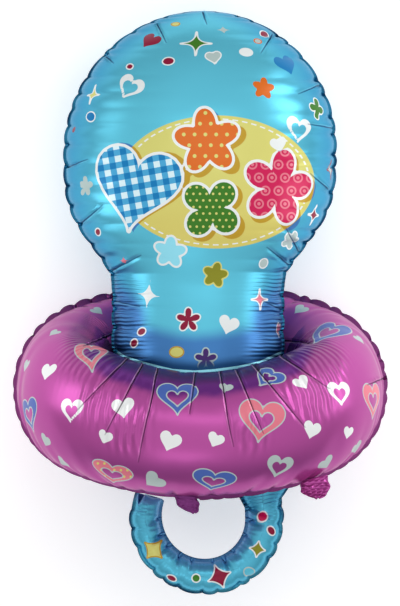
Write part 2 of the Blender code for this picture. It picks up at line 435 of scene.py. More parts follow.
def petal_shape(petals, depth, power):
    turn = full_turn(petals * 14)
    reach = 0.5 * (1 - depth + depth * np.abs(np.cos(turn * petals / 2)) ** power)
    return np.stack([reach * np.sin(turn), reach * np.cos(turn)], 1)


def spark_shape(power, narrow=1.0):
    """Four points with hollow sides between them."""
    turn = full_turn(72)
    reach = 0.5 / (np.abs(np.cos(turn)) ** power + np.abs(np.sin(turn)) ** power) ** (1 / power)
    return np.stack([reach * np.sin(turn) * narrow, reach * np.cos(turn)], 1)


SHAPES = {
    "heart": heart_shape(),
    "tall_heart": heart_shape(1.9),
    "low_heart": heart_shape(0.7),
    "dot": oval_shape(),
    "oval": oval_shape(0.72),
    "star": petal_shape(5, 0.45, 1.3),
    "flower": petal_shape(5, 0.93, 0.75),
    "bloom": petal_shape(5, 0.62, 0.7),
    "clover": petal_shape(4, 0.93, 0.75),
    "leaf": petal_shape(4, 0.62, 0.7),
    "spark": spark_shape(0.47),
    "tall_spark": spark_shape(0.5, 0.84),
    "cross": spark_shape(0.7),
}


def outline_distance(points, outline):
    """Signed distance to a closed outline, less than 0 inside."""
    best = np.full(len(points), np.inf)
    inside = np.zeros(len(points), bool)
    for a, b in zip(outline, np.roll(outline, -1, 0)):
        edge = b - a
        rel = points - a
        t = np.clip((rel @ edge) / (edge @ edge), 0, 1)
        gap = rel - t[:, None] * edge
        best = np.minimum(best, np.hypot(gap[:, 0], gap[:, 1]))
        crosses = (a[1] > points[:, 1]) != (b[1] > points[:, 1])
        if abs(edge[1]) > 1e-12:
            at = a[0] + (points[:, 1] - a[1]) / edge[1] * edge[0]
            inside ^= crosses & (points[:, 0] < at)
    return np.where(inside, -best, best)


class Print:
    """What is printed at each point of a bag: the distance to the nearest motif, and that motif's colours."""

    def __init__(self, points, normals):
        self.points = points.reshape(-1, 3)
        self.normals = normals.reshape(-1, 3)
        count = len(self.points)
        self.gap = np.full(count, 1.0)
        self.fill = np.tile(np.array(WHITE + (1.0,)), (count, 1))
        self.edge = np.tile(np.array(WHITE + (1.0,)), (count, 1))
        self.width = np.zeros(count)
        self.pattern = np.zeros(count)
        self.shadow = np.full(count, 1.0)

    def centre_at(self, px, py, front=True):
        """The point of the bag seen at a place of the photograph, or straight behind it."""
        x, y = to_metres(px, py)
        off = np.hypot(self.points[:, 0] - x, self.points[:, 1] - y)
        turned, nearby, wider = 0.02, 0.006, 1.2
        facing = self.normals[:, 2] > turned if front else self.normals[:, 2] < -turned
        height = self.points[:, 2] if front else -self.points[:, 2]
        close = off < max(nearby, off[facing].min() * wider)
        return int(np.argmax(np.where(close & facing, height, -np.inf)))

    def around(self, px, py, size, tilt, front):
        """The points near a place, and where they lie across and up in the print, in units of its size."""
        index = self.centre_at(px, py, front)
        centre, normal = self.points[index], self.normals[index]
        lean = math.radians(tilt)
        upright = np.array([math.sin(lean), math.cos(lean), 0.0])
        upright -= normal * (upright @ normal)
        upright /= np.linalg.norm(upright)
        aside = np.cross(upright, normal)
        scale = size * PIXEL
        reach, same_side = 1.2, 0.15
        near = np.linalg.norm(self.points - centre, axis=1) < scale * reach
        near &= self.normals @ normal > same_side
        where = np.nonzero(near)[0]
        rel = self.points[where] - centre
        return where, np.stack([rel @ aside, rel @ upright], 1) / scale

    def cast_shadow(self, shape, px, py, size, tilt):
        where, flat = self.around(px, py, size, tilt, True)
        gap = outline_distance(flat, SHAPES[shape]) * size * PIXEL
        self.shadow[where] = np.minimum(self.shadow[where], gap)

    def add(self, shape, px, py, size, tilt, fill, edge=None,
            rim=1.3, hollow=0.0, pattern=NO_PATTERN, front=True):
        where, flat = self.around(px, py, size, tilt, front)
        scale = size * PIXEL
        gap = outline_distance(flat, SHAPES[shape]) * scale
        if hollow:
            core_middle = np.array([0.0, -0.03])
            core = outline_distance((flat - core_middle) / hollow, SHAPES[shape])
            gap = np.maximum(gap, -core * scale * hollow)
        closer = gap < self.gap[where]
        chosen = where[closer]
        self.gap[chosen] = gap[closer]
        self.fill[chosen, :3] = fill
        self.edge[chosen, :3] = edge or fill
        self.width[chosen] = rim * PIXEL if edge else 0.0
        self.pattern[chosen] = pattern

    def add_all(self, motifs, **more):
        for shape, rows in motifs.items():
            for row in rows:
                self.add(shape, *row, **more)

    def store(self, mesh):
        store_values(mesh, print_gap=self.gap, print_width=self.width, print_pattern=self.pattern,
                     print_shadow=self.shadow)
        for name, values in (("print_fill", self.fill), ("print_edge", self.edge)):
            data = mesh.attributes.new(name, "FLOAT_COLOR", "POINT").data
            data.foreach_set("color", values.astype(np.float32).ravel())


def store_values(mesh, **fields):
    for name, values in fields.items():
        data = mesh.attributes.new(name, "FLOAT", "POINT").data
        data.foreach_set("value", values.astype(np.float32).ravel())


def grid_mesh(name, points, closed_rows, turned_out):
    """A skin over rows of points, each row a closed loop, with its outside outwards."""
    rows, columns = points.shape[:2]
    index = np.arange(rows * columns).reshape(rows, columns)
    if not turned_out:
        index = index[:, ::-1]
    upto = rows if closed_rows else rows - 1
    a = index[:upto]
    b = np.roll(index, -1, 0)[:upto]
    faces = np.stack([a, np.roll(a, -1, 1), np.roll(b, -1, 1), b], 2).reshape(-1, 4).tolist()
    if not closed_rows:
        faces.append(index[0][::-1].tolist())
        faces.append(index[-1].tolist())
    mesh = bpy.data.meshes.new(name)
    mesh.from_pydata(points.reshape(-1, 3).tolist(), [], faces)
    mesh.shade_smooth()
    return mesh


# Creases that the photograph shows from end to end, in its pixels, from the seam inwards
TEAT_CREASES = (
    ((157, 25), (166, 44)), ((106, 57), (114, 64)), ((203, 12), (207, 25)), ((272, 35), (261, 54)),
    ((320, 85), (298, 94)), ((336, 129), (308, 125)), ((327, 189), (310, 174)), ((67, 167), (88, 160)),
    ((82, 223), (103, 206)), ((108, 273), (141, 256)), ((292, 268), (267, 248)), ((298, 251), (286, 229)),
    ((110, 300), (140, 306)), ((286, 312), (262, 300)),
)
RING_CREASES = (
    ((284, 341), (311, 343)), ((280, 355), (327, 387)), ((250, 360), (302, 424)), ((220, 370), (232, 442)),
    ((158, 370), (140, 456)), ((130, 356), (80, 408)), ((112, 334), (84, 346)), ((196, 371), (190, 412)),
    ((236, 368), (262, 430)), ((143, 365), (108, 430)), ((388, 376), (366, 384)),
)

# Patches of fine parallel wrinkles on the ring: their middle and half width in the photograph's pixels
WRINKLED_PLACES = (
    (92, 352, 26), (104, 402, 24), (128, 425, 24), (100, 316, 14),
    (322, 365, 22), (310, 395, 24), (250, 432, 18),
)


def with_rims(values, left, right):
    """Columns of both sheets with one more column at each welded rim."""
    return np.concatenate([left, values[:, :FRONT_COLUMNS], right, values[:, FRONT_COLUMNS:]], 1)


def end_lobes(share, to_end):
    """The handle's free end reaches out in two lobes with a notch between them, rounded at both sides."""
    last = np.clip(1 - to_end / END_REACH, 0, 1) ** 2
    lobes = 0.9 - 1.9 * bell(share, 0.45, 0.13) - 0.3 * bell(share, -0.25, 0.4)
    return last * (lobes - 0.9 * np.clip(share, 0, 1) ** 6 - 0.3 * np.clip(-share, 0, 1) ** 12)


def build_teat():
    parts = [dome_rows(), flank_rows(), neck_rows(), stem_rows(), handle_rows()]
    left, right, depth = (np.concatenate(stretch) for stretch in zip(*parts))
    rows = len(depth)
    middle = (left + right) / 2
    across = right - left
    width = np.linalg.norm(across, axis=1)
    across = across / width[:, None]
    half = width[:, None] / 2
    s_left, s_right = rail_length(left)[:, None], rail_length(right)[:, None]
    handle_from = rows - len(parts[-1][2])
    on_handle = np.clip((np.arange(rows) - handle_from + BLEND_ROWS / 2) / BLEND_ROWS, 0, 1)[:, None]
    stem_end = s_left[handle_from, 0]
    notches_left = notch_places(stem_end, SCALLOP_PITCH)
    notches_right = notch_places(s_right[-1, 0], SCALLOP_PITCH)
    notches_inner = stem_end + notch_places(s_left[-1, 0] - stem_end, INNER_PITCH)
    edge_left = half - SCALLOP_DEPTH * (1 - scallop(s_left, notches_left)) * (1 - on_handle)
    edge_right = half - SCALLOP_DEPTH * (1 - scallop(s_right, notches_right))

    front = np.linspace(-np.pi / 2, np.pi / 2, FRONT_COLUMNS)
    back = np.linspace(np.pi / 2, -np.pi / 2, BACK_COLUMNS)
    angle = np.concatenate([front, back])[None, :]
    side = np.concatenate([np.ones(FRONT_COLUMNS), -np.ones(BACK_COLUMNS)])[None, :]
    share = np.sin(angle)
    body_left = np.maximum(edge_left - TEAT_RIM, half * BODY_SHARE)
    body_right = np.maximum(edge_right - TEAT_RIM, half * BODY_SHARE)
    body = np.where(share < 0, body_left, body_right)
    offset = share * body
    swell = np.abs(np.cos(angle)) ** PUFF_POWER
    height = side * (FILM + depth[:, None] * swell)
    tip = np.zeros((rows, 1))
    offset = with_rims(offset, -edge_left, edge_right)
    height = with_rims(height, tip, tip)
    flap_left = FLAP_HEIGHT * np.sin(s_left / SCALLOP_PITCH * 2.9)
    flap_right = FLAP_HEIGHT * np.sin(s_right / SCALLOP_PITCH * 3.3 + 1)

    inward_left = np.clip(offset + edge_left, 0, None)
    inward_right = np.clip(edge_right - offset, 0, None)
    inward = np.minimum(inward_left, inward_right)
    flap = np.where(inward_left < inward_right, flap_left, flap_right)
    height = height + flap * np.exp(-inward / FLAP_FADE)
    base = middle_z(middle[:, 1])[:, None]
    points = np.stack([
        middle[:, 0:1] + across[:, 0:1] * offset,
        middle[:, 1:2] + across[:, 1:2] * offset,
        base + height,
    ], 2)
    normals, turned_out = grid_normals(points, False)

    full_depth, inner_strength = 0.02, 4.2
    slack = np.minimum(1.0, depth / full_depth)[:, None]
    reach = np.minimum(PINCH_LENGTH, half * BODY_SHARE)
    groove = pinches(s_left, inward_left, notches_left, reach, TEAT_PINCH_WIDTH)
    groove += pinches(s_right, inward_right, notches_right, reach, TEAT_PINCH_WIDTH)
    groove = groove * (1 - 0.55 * on_handle)
    inner_groove = pinches(s_left, inward_left, notches_inner, *HANDLE_PINCH)
    groove += inner_strength * inner_groove * on_handle
    dent = TEAT_PINCH_DEPTH * groove * seam_rise(inward, 0.004) * slack
    on_front = np.zeros(points.shape[:2], bool)
    on_front[:, 1:FRONT_COLUMNS + 1] = True
    for start, end in TEAT_CREASES:
        dent = dent + TEAT_CREASE_DEPTH * segment_groove(points, start, end, TEAT_CREASE_WIDTH) * on_front
    dent = dent + TEAT_UNEVENNESS * smooth_noise(points, 0.09, 3) * seam_rise(inward, 0.02)
    points = points - normals * dent[..., None]
    share_across = offset / half
    to_end = s_right[-1] - s_right
    forward = np.array([math.sin(HANDLE_STOP), -math.cos(HANDLE_STOP), 0.0])
    points = points + END_LOBE * end_lobes(share_across, to_end)[..., None] * forward
    points[..., 2] = np.maximum(points[..., 2], 0.0)

    mesh = grid_mesh("teat_foil_mesh", points, False, turned_out)
    s_near = np.where(inward_left < inward_right, s_left, s_right)
    patches = np.clip(0.35 + 1.3 * smooth_noise(points, 0.11, 11), 0, 1)
    neck_side = np.clip((NECK_TOP_Y + 0.035 - points[..., 1]) / 0.03, 0, 1)
    fine = bell(inward, 0, 0.01 + 0.026 * neck_side) * (0.25 * patches + 0.75 * neck_side)
    fine = fine * (1 - 0.85 * on_handle)
    inner_edge = on_handle * (share_across < 0)
    crease_off, crease_strength = crease_fields(points, TEAT_CREASES, on_front)
    hug, below = line_gap(points, HUG_LINE)
    hug = np.where(below, -hug, hug)
    hug[points[..., 1] < to_metres(0, LOWEST_HUG)[1]] = FAR_FROM_HUG
    store_values(
        mesh,
        rim=np.clip(inward / TEAT_RIM + 4 * inner_edge, 0, 4),
        wrinkle_phase=s_near,
        wrinkle_amount=fine * slack,
        crease_off=crease_off,
        crease_strength=crease_strength,
        hug=np.where(on_front, hug, FAR_FROM_HUG),
        handle_inside=np.clip(-share_across, 0, 1) * on_handle,
        handle_end=np.clip(1.6 - to_end / END_LIGHT_LENGTH, 0, 1) + 0 * offset,
        edge_shade=bell(inward, 0, EDGE_SHADE_WIDTH) * (1 - 0.6 * on_handle),
    )
    teat_print(Print(points, grid_normals(points, False)[0])).store(mesh)
    return mesh


def round_ring(angle, side, front, back):
    facing = np.where(np.sin(angle) > 0, front, back)
    return side * np.cos(angle) ** 2 + facing * np.sin(angle) ** 2


def ring_points(angle, around, proud):
    half_thick = round_ring(angle, RING_SIDE_THICKNESS, RING_FRONT_THICKNESS, RING_BACK_THICKNESS) / 2
    half_high = round_ring(angle, RING_SIDE_HEIGHT, RING_FRONT_HEIGHT, RING_BACK_HEIGHT) / 2
    side = RING_HALF_WIDTH - RING_SIDE_THICKNESS / 2
    front = STEM_DEPTH / 2 + RING_LIFT + RING_FRONT_THICKNESS / 2
    back = NECK_DEPTH / 2 + CLEARANCE + RING_BACK_THICKNESS / 2
    distance = round_ring(angle, side, front, back) + (half_thick + proud) * np.cos(around)
    y = RING_Y - RING_DROP * np.sin(angle) + (half_high + proud) * np.sin(around)
    return np.stack([distance * np.cos(angle), y, NECK_MIDDLE_Z + distance * np.sin(angle)], 2)


def seam_turn(angle):
    """The welded rim swings round to the outline that shows from the front."""
    swing = 2.6
    return -SEAM_ROLL * np.tanh(swing * np.sin(angle)) / math.tanh(swing)


def build_ring():
    angle = (2 * np.pi * np.arange(RING_ROWS) / RING_ROWS)[:, None]
    seam = seam_turn(angle)
    rim_turn = 0.024
    inner = np.linspace(rim_turn, 2 * np.pi - rim_turn, RING_COLUMNS - 1)[None, :]
    around = np.concatenate([np.zeros((1, 1)), inner], 1)
    rim_line = ring_points(angle, seam, np.zeros_like(angle))[:, 0]
    steps = np.linalg.norm(np.roll(rim_line, -1, 0) - rim_line, axis=1)
    s = np.concatenate([[0], np.cumsum(steps)])[:-1]
    total = steps.sum()
    notches = notch_places(total, SCALLOP_PITCH)
    notches = np.concatenate([[notches[-1] - total], notches, [notches[0] + total]])
    bump = scallop(s, notches)
    proud = np.zeros((RING_ROWS, RING_COLUMNS))
    sine, cosine = np.sin(angle[:, 0]), np.cos(angle[:, 0])
    quiet = np.clip(0.45 + 1.3 * sine, 0, 0.8) * np.where(cosine > 0, 0.75, 1.0)
    proud[:, 0] = (RING_RIM - RING_SCALLOP_DEPTH * (1 - bump)) * (1 - quiet)
    points = ring_points(angle, seam + around, proud)
    normals, turned_out = grid_normals(points, True)

    tube = 0.085
    from_seam = np.minimum(around, 2 * np.pi - around) * tube * np.ones_like(angle)
    from_inner = np.abs(around - np.pi) * tube * np.ones_like(angle)
    inner_share = 0.55
    s_in = s * inner_share
    groove = pinches(s[:, None], from_seam, notches, PINCH_LENGTH, RING_PINCH_WIDTH)
    inner_notches = notch_places(s_in[-1], INNER_PITCH)
    hug = pinches(s_in[:, None], from_inner, inner_notches, *HUG_PINCH)
    dent = RING_PINCH_DEPTH * groove * seam_rise(from_seam, 0.008) + RING_HUG_DEPTH * hug
    dent = dent + RING_WELD_DEPTH * bell(from_seam, 0.005, 0.0035)
    dent = dent - RING_INNER_SWELL * bell(from_inner, 0, 0.06) * np.clip(np.sin(angle), 0, 1)
    upper = (normals[..., 2] > 0.0) & (points[..., 2] > NECK_MIDDLE_Z - 0.05)
    for start, end in RING_CREASES:
        dent = dent + RING_CREASE_DEPTH * segment_groove(points, start, end, RING_CREASE_WIDTH) * upper
    dent = dent + RING_UNEVENNESS * smooth_noise(points, 0.12, 5)
    dent[:, 0] = 0
    points = points - normals * dent[..., None]
    points[..., 2] = np.maximum(points[..., 2], 0.0)

    mesh = grid_mesh("ring_foil_mesh", points, True, turned_out)
    patches = np.clip(0.25 + 1.7 * smooth_noise(points, 0.12, 21), 0, 1)
    fine = bell(from_inner, 0.055, 0.042) * patches * 0.6
    for px, py, wide in WRINKLED_PLACES:
        x, y = to_metres(px, py)
        off = np.hypot(points[..., 0] - x, points[..., 1] - y) / (wide * PIXEL)
        fine = np.maximum(fine, 1.1 * np.exp(-off ** 4) * upper)
    crease_off, crease_strength = crease_fields(points, RING_CREASES, upper)
    in_front = np.clip(2.2 * np.sin(angle) - 0.9, 0, 1)
    from_fold = from_seam * np.where(around < np.pi, 1.0, 3.0)
    fold_shade = in_front * (0.85 * bell(from_fold, 0.007, 0.006) + 0.42 * bell(from_fold, 0.068, 0.022))
    back = np.clip(0.35 - 1.5 * np.sin(angle), 0, 1)
    fold_shade = np.maximum(fold_shade, 0.6 * back * bell(from_seam, 0, 0.03))
    hug_gap, below = line_gap(points, HUG_LINE)
    hug_gap = np.where(below | (points[..., 1] < to_metres(0, 345)[1]), hug_gap, hug_gap * 1.4)
    hug_gap = np.where(points[..., 2] > NECK_MIDDLE_Z - 0.03, hug_gap, FAR_FROM_HUG)
    store_values(
        mesh,
        rim=np.clip(from_seam / 0.006, 0, 4),
        shade=np.maximum(bell(from_inner, 0, 0.045), fold_shade),
        hug=hug_gap,
        crease_off=crease_off,
        crease_strength=crease_strength,
        wrinkle_phase=s_in[:, None] * np.ones_like(from_seam),
        wrinkle_amount=fine,
    )
    ring_print(Print(points, grid_normals(points, True)[0])).store(mesh)
    return mesh


def tail_mesh(name, angle, width, length, curl, crumple, painted_shade):
    """A loose strip of the ring's rim: a thin pouch of crumpled foil that widens and curls to one side."""
    turn = np.array([[angle]])
    tip = ring_points(turn, -SEAM_ROLL * np.sin(turn), np.zeros((1, 1)))[0, 0]
    root = ring_points(turn, seam_turn(turn), np.zeros((1, 1)))[0, 0]
    aside = ring_points(turn + 0.1, seam_turn(turn + 0.1), np.zeros((1, 1)))[0, 0]
    slope = (aside[1] - root[1]) / (aside[0] - root[0])
    share = np.linspace(0, 1, TAIL_ROWS)[:, None]
    half = width / 2 * mix(0.8, 1.0, np.sin(np.pi * share)) * np.sqrt(1 - 0.96 * share ** 4)
    swing = 2 * np.pi * (np.arange(TAIL_COLUMNS) / TAIL_COLUMNS)[None, :]
    across = np.cos(swing)
    end_lobes = 0.0013 * (np.cos(across * 4.4 + 0.6) - 1) * share ** 4
    from_root = half * across
    along = mix(root[1] + TAIL_ROOT / 2 + slope * from_root, tip[1] - length, share)
    x = tip[0] + curl * share ** 2 + half * across * (1 + 0.05 * np.sin(share * 14 + across))
    z = mix(root[2], tip[2], share) + TAIL_THICKNESS / 2 * mix(1.0, 0.6, share) * np.sin(swing)
    points = np.stack([x, along - end_lobes + 0 * x, z], 2)
    folds = np.sin(across * 6 + 8 * share + 1.5 * np.sin(9 * share))
    folds = folds + 0.7 * np.sin(across * 10 - 19 * share)
    folds = np.abs(folds + 0.6 * np.sin(25 * share + 5 * across)) - 0.8
    points[..., 2] += crumple * folds * np.clip(2.5 * share, 0, 1)
    normals, turned_out = grid_normals(points, False)
    mesh = grid_mesh(name, points, False, turned_out)
    even = np.zeros(points.shape[:2])
    store_values(mesh, rim=even + 4, shade=even + painted_shade, hug=even + FAR_FROM_HUG)
    Print(points, normals).store(mesh)
    return mesh


def teat_print(printed):
    small = {
        "heart": (
            (147, 39, 21, 28, CRIMSON), (216, 57, 14, -8, SILVER, WHITE), (290, 64, 25, -12, ROYAL),
            (231, 324, 20, 18, WHITE), (282, 330, 12, 30, HEART_PINK, WHITE), (281, 145, 17, -14, WHITE),
        ),
        "spark": (
            (195, 41, 31, 0, GREEN, WHITE), (223, 27, 17, 0, SILVER), (92, 92, 19, 0, YELLOW, WHITE),
            (263, 298, 20, 0, HEART_PINK, WHITE), (317, 214, 20, 6, CRIMSON, WHITE),
            (121, 263, 13, 0, HEART_PINK), (333, 168, 18, 0, SILVER, CRIMSON),
        ),
        "oval": (
            (174, 21, 8, 10, YELLOW, OCHRE), (169, 59, 11, 0, CRIMSON, WHITE),
            (129, 64, 7, 20, CRIMSON, WHITE), (96, 235, 8, -60, CRIMSON, WHITE),
            (139, 329, 9, -20, CRIMSON, WHITE), (131, 344, 9, -40, CRIMSON, WHITE),
            (89, 115, 12, 30, ROYAL, WHITE), (248, 50, 15, 0, WHITE), (258, 38, 7, 0, SILVER, ORANGE),
            (267, 32, 11, -25, CRIMSON, WHITE), (71, 128, 8, 80, CRIMSON), (173, 351, 13, 0, YELLOW, OCHRE),
            (169, 580, 9, 20, CRIMSON, WHITE), (275, 530, 9, 50, CRIMSON, WHITE),
            (252, 574, 12, 30, BLUE, SILVER),
        ),
        "star": ((267, 89, 24, 10, ORANGE), (217, 278, 25, 12, OLIVE, YELLOW)),
        "clover": ((319, 106, 22, 20, GREEN, WHITE),),
        "bloom": ((83, 186, 20, 0, SILVER), (294, 242, 19, 0, SILVER, WHITE)),
        "tall_spark": ((145, 295, 32, 8, WHITE),),
        "flower": ((185, 319, 24, 0, CRIMSON, WHITE), (207, 356, 22, 0, PLUM, SILVER)),
        "dot": (
            (265, 267, 9, 0, SILVER, WHITE), (193, 579, 7, 0, GREEN, WHITE), (264, 512, 9, 0, ROSE, WHITE),
        ),
        "cross": (
            (151, 552, 22, 40, YELLOW, OCHRE), (222, 578, 23, -22, CRIMSON, WHITE),
            (261, 547, 15, 10, OLIVE, WHITE),
        ),
    }
    printed.add_all(small)
    printed.add_all({"heart": ((127, 87, 28, 28, WHITE), (302, 132, 28, 14, WHITE))}, hollow=0.6)
    printed.add("star", 170, 256, 32, 8, PALE_BLUE, WHITE, rim=2.0)
    big = (
        ("heart", 133, 188, 84, 12, ROYAL, GINGHAM), ("star", 210, 140, 66, -6, ORANGE, DOTS),
        ("bloom", 280, 190, 76, 14, ROSE, CIRCLES), ("leaf", 213, 213, 62, 40, GREEN, SMALL_DOTS),
    )
    for shape, px, py, size, tilt, fill, pattern in big:
        printed.add(shape, px, py, size, tilt, fill, WHITE, rim=2.8, pattern=pattern)
        printed.cast_shadow(shape, px + 5, py + 4, size + 6, tilt)
    behind = {
        "heart": (
            (150, 60, 26, 20, WHITE), (280, 140, 28, -15, ROYAL), (150, 215, 24, -20, CRIMSON),
            (240, 300, 22, 15, WHITE),
        ),
        "star": ((245, 75, 30, 0, ORANGE), (180, 275, 28, 0, OLIVE, YELLOW)),
        "spark": (
            (200, 115, 34, 0, WHITE), (265, 215, 26, 0, YELLOW, WHITE), (150, 552, 18, 0, CRIMSON, WHITE),
            (222, 576, 18, 0, YELLOW, OCHRE),
        ),
        "flower": ((120, 140, 30, 0, CRIMSON, WHITE),),
        "clover": ((205, 190, 30, 0, GREEN, WHITE),),
        "dot": (
            (210, 50, 12, 0, CRIMSON, WHITE), (300, 100, 12, 0, SILVER, WHITE),
            (100, 190, 12, 0, YELLOW, OCHRE),
        ),
    }
    printed.add_all(behind, front=False)
    return printed


def ring_print(printed):
    solid = (
        (46, 369, 20, 0), (124, 403, 22, -8), (169, 443, 21, 20), (218, 440, 16, 24), (302, 379, 17, -30),
        (313, 430, 19, 18), (349, 434, 14, 10), (104, 437, 15, 24), (55, 329, 13, 18), (23, 365, 14, 14),
        (45, 443, 15, 40), (62, 463, 15, 40), (152, 482, 22, 40), (361, 336, 14, 0), (327, 464, 18, -36),
        (357, 450, 16, -36), (300, 306, 16, 30), (99, 308, 14, -30), (224, 384, 13, 0),
    )
    for number, (px, py, size, tilt) in enumerate(solid):
        printed.add("heart", px, py, size, tilt, WHITE if number < 8 else SILVER)
    hollow = ((70, 408, 26, 4, WHITE), (341, 391, 27, 0, WHITE), (280, 467, 27, 8, SILVER))
    printed.add_all({"heart": hollow}, hollow=0.55)
    ringed = (
        ("tall_heart", 92, 350, 30, -6, HEART_PINK), ("heart", 261, 418, 42, 8, HEART_PINK),
        ("heart", 375, 398, 36, 0, HEART_PINK), ("low_heart", 111, 474, 40, 16, HEART_PINK),
        ("heart", 175, 394, 37, 0, HEART_BLUE), ("tall_heart", 326, 329, 33, 0, HEART_BLUE),
        ("heart", 27, 414, 34, -22, HEART_BLUE), ("low_heart", 214, 482, 40, 8, HEART_BLUE),
        ("heart", 266, 374, 24, 20, HEART_BLUE),
    )
    for shape, px, py, size, tilt, fill in ringed:
        pattern = SMALL_DOTS if (px, py) == (111, 474) else NO_PATTERN
        printed.add(shape, px, py, size, tilt, fill, SILVER, hollow=0.58, rim=1.2, pattern=pattern)
    behind = (
        (60, 350, 22, 10), (95, 420, 26, -15), (140, 340, 20, 20), (170, 400, 24, -10), (200, 330, 26, 0),
        (235, 385, 22, 15), (270, 330, 24, -20), (300, 420, 26, 10), (345, 360, 24, -8), (205, 440, 22, 0),
        (120, 455, 20, 0), (330, 440, 20, 0), (20, 380, 20, 0), (378, 385, 20, 0),
    )
    for number, (px, py, size, tilt) in enumerate(behind):
        if number % 3 == 1:
            printed.add("heart", px, py, size * 1.5, tilt, HEART_BLUE, SILVER, hollow=0.5, front=False)
        else:
            printed.add("heart", px, py, size, tilt, WHITE, front=False)
    return printed


class Nodes:
    """Short calls for building a material's node tree."""

    def __init__(self, name):
        self.material = bpy.data.materials.new(name)
        self.material.use_nodes = True
        self.tree = self.material.node_tree
        self.shader = self.tree.nodes["Principled BSDF"]

    def link(self, value, socket):
        if isinstance(value, bpy.types.NodeSocket):
            self.tree.links.new(value, socket)
        else:
            socket.default_value = value

    def attribute(self, name, output="Fac"):
        node = self.tree.nodes.new("ShaderNodeAttribute")
        node.attribute_name = name
        return node.outputs[output]

    def math(self, operation, first, second=0.0, third=0.0):
        node = self.tree.nodes.new("ShaderNodeMath")
        node.operation = operation
        for value, socket in zip((first, second, third), node.inputs):
            self.link(value, socket)
        return node.outputs[0]

    def times(self, first, second):
        return self.math("MULTIPLY", first, second)

    def distance(self, across, up):
        squares = self.math("POWER", across, 2.0), self.math("POWER", up, 2.0)
        return self.math("SQRT", self.math("ADD", *squares))

    def step(self, value, low, high, start=0.0, end=1.0):
        node = self.tree.nodes.new("ShaderNodeMapRange")
        node.interpolation_type = "SMOOTHSTEP"
        for value_, socket in zip((value, low, high, start, end), node.inputs):
            self.link(value_, socket)
        return node.outputs[0]

    def mix(self, share, first, second):
        node = self.tree.nodes.new("ShaderNodeMix")
        node.data_type = "RGBA"
        self.link(share, node.inputs["Factor"])
        for value, socket in ((first, node.inputs[6]), (second, node.inputs[7])):
            self.link(value if isinstance(value, bpy.types.NodeSocket) else tuple(value) + (1.0,), socket)
        return node.outputs[2]

    def place(self):
        node = self.tree.nodes.new("ShaderNodeTexCoord")
        split = self.tree.nodes.new("ShaderNodeSeparateXYZ")
        self.tree.links.new(node.outputs["Object"], split.inputs[0])
        return node.outputs["Object"], split.outputs

    def noise(self, vector, scale, detail=2.0):
        node = self.tree.nodes.new("ShaderNodeTexNoise")
        self.link(vector, node.inputs["Vector"])
        node.inputs["Scale"].default_value = scale
        node.inputs["Detail"].default_value = detail
        return node.outputs["Fac"]


def repeat_gap(nodes, axis, period):
    """Distance from the middle of the repeat along one axis, from 0 to half a period."""
    wrapped = nodes.math("WRAP", axis, period / 2, -period / 2)
    return nodes.math("ABSOLUTE", wrapped)


def dotted(nodes, fill, axes, pitch, radius, colour):
    """Rows of dots, every other row moved by half a step."""
    row = nodes.math("FLOOR", nodes.math("DIVIDE", axes[1], pitch))
    across = repeat_gap(nodes, nodes.math("MULTIPLY_ADD", row, pitch / 2, axes[0]), pitch)
    up = repeat_gap(nodes, nodes.math("ADD", axes[1], pitch / 2), pitch)
    far = nodes.distance(across, up)
    return nodes.mix(nodes.step(far, radius + INK_SOFTNESS, radius - INK_SOFTNESS), fill, colour), far


def gingham(nodes, fill, axes):
    """Checks of crossed stripes, leaning a little."""
    lean, check, soft = math.radians(10.0), 0.019, EDGE_SOFTNESS
    stripes = []
    for turn in (lean, lean + math.pi / 2):
        up = nodes.times(axes[1], math.sin(turn))
        along = nodes.math("MULTIPLY_ADD", axes[0], math.cos(turn), up)
        stripes.append(nodes.step(repeat_gap(nodes, along, check), check / 4 - soft, check / 4 + soft))
    count = nodes.math("ADD", *stripes)
    middle = nodes.mix(nodes.step(count, 0.4, 0.6), fill, GINGHAM_MIDDLE)
    return nodes.mix(nodes.step(count, 1.4, 1.6), middle, GINGHAM_LIGHT)


def pattern_colours(nodes, fill, kind, axes):
    """Gingham checks, dots or ringed dots inside the big motifs."""
    large = dotted(nodes, fill, axes, *LARGE_DOTS, YELLOW)[0]
    small = dotted(nodes, fill, axes, *FINE_DOTS, YELLOW)[0]
    centres, far = dotted(nodes, fill, axes, *RINGED_DOTS, HEART_PINK)
    band = nodes.math("ABSOLUTE", nodes.math("SUBTRACT", far, CIRCLE_RADIUS))
    circles = nodes.mix(nodes.step(band, *CIRCLE_EDGES), centres, HEART_PINK)
    checks = gingham(nodes, fill, axes)
    colour = fill
    for number, patterned in ((GINGHAM, checks), (DOTS, large), (CIRCLES, circles), (SMALL_DOTS, small)):
        colour = nodes.mix(nodes.math("COMPARE", kind, number, 0.4), colour, patterned)
    return colour


def printed_colour(nodes, ground, axes):
    """The ground with the motifs on it: each has a fill and a thin pale outline."""
    gap = nodes.attribute("print_gap")
    width = nodes.attribute("print_width")
    fill = nodes.attribute("print_fill", "Color")
    fill = pattern_colours(nodes, fill, nodes.attribute("print_pattern"), axes)
    inside = nodes.step(gap, EDGE_SOFTNESS, -EDGE_SOFTNESS)
    outer = nodes.math("SUBTRACT", gap, width)
    has_outline = nodes.step(width, INK_SOFTNESS, 2 * INK_SOFTNESS)
    outlined = nodes.times(nodes.step(outer, EDGE_SOFTNESS, -EDGE_SOFTNESS), has_outline)
    colour = nodes.mix(outlined, ground, nodes.attribute("print_edge", "Color"))
    return nodes.mix(inside, colour, fill), nodes.math("MAXIMUM", inside, outlined)


